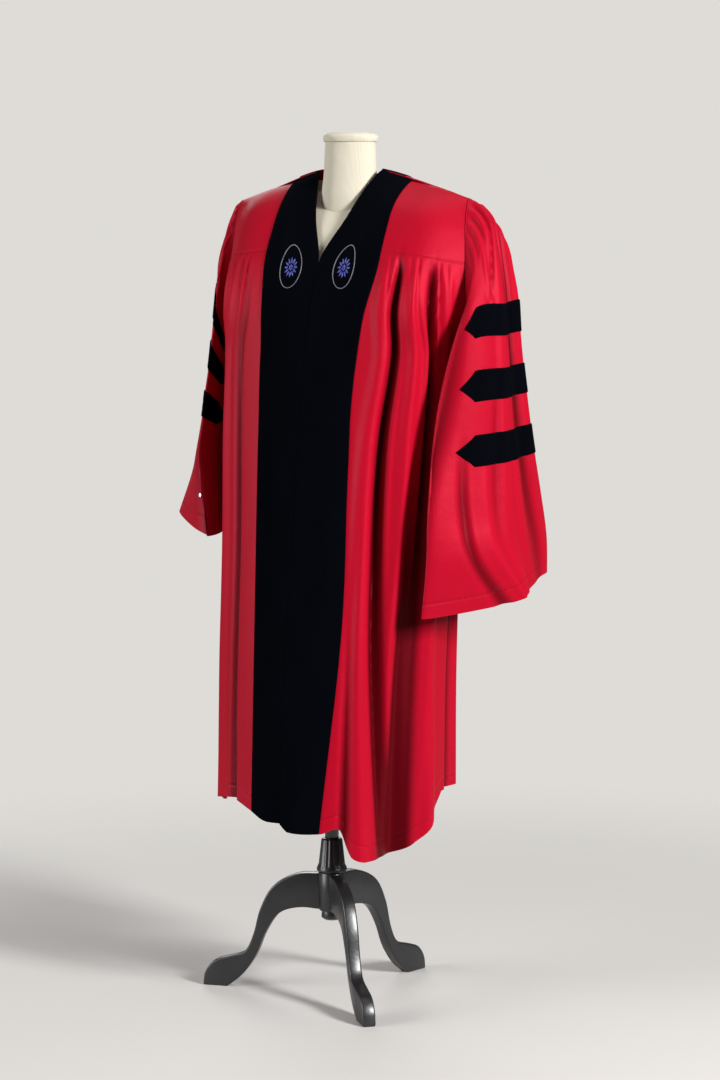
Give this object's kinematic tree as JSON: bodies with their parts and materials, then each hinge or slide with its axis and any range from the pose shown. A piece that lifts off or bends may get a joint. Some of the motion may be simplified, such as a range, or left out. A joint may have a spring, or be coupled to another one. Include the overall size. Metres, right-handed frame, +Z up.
{
  "type": "graduation gown on a dress form with a three-legged stand",
  "caption": "Long open-sleeved academic gown with velvet facings and sleeve bars, draped on a limbless dress form with a turned post and three curved legs.",
  "frame": {"origin": "bottom centre of the part's box, on the floor under the stand's feet", "axes": "+Z up; the gown faces -Y; +X is the side of the wearer's left sleeve"},
  "size_m": [0.7104, 0.4632, 1.609],
  "materials": {
    "satin": "soft satin sheen, crimson",
    "velvet": "near-black velvet with a short nap",
    "form_cloth": "cream linen-like jersey",
    "stand": "black satin lacquer",
    "snap": "polished"
  },
  "bodies": {
    "root": {"front_left": "satin", "front_right": "satin", "back": "satin", "yoke_front_left": "satin", "yoke_front_right": "satin", "yoke_back": "satin", "velvet_left": "velvet", "velvet_right": "velvet", "neckband": "velvet", "sleeve_left": "satin", "sleeve_right": "satin", "bar_left_1": "velvet", "bar_left_2": "velvet", "bar_left_3": "velvet", "bar_right_1": "velvet", "bar_right_2": "velvet", "bar_right_3": "velvet", "snap_right": "snap", "form_torso": "form_cloth", "form_neck_cap": "form_cloth", "stand_pole": "stand", "stand_collar": "stand", "stand_hub": "stand", "stand_stub": "stand", "stand_leg_1": "stand", "stand_leg_2": "stand", "stand_leg_3": "stand"}
  },
  "joints": []
}
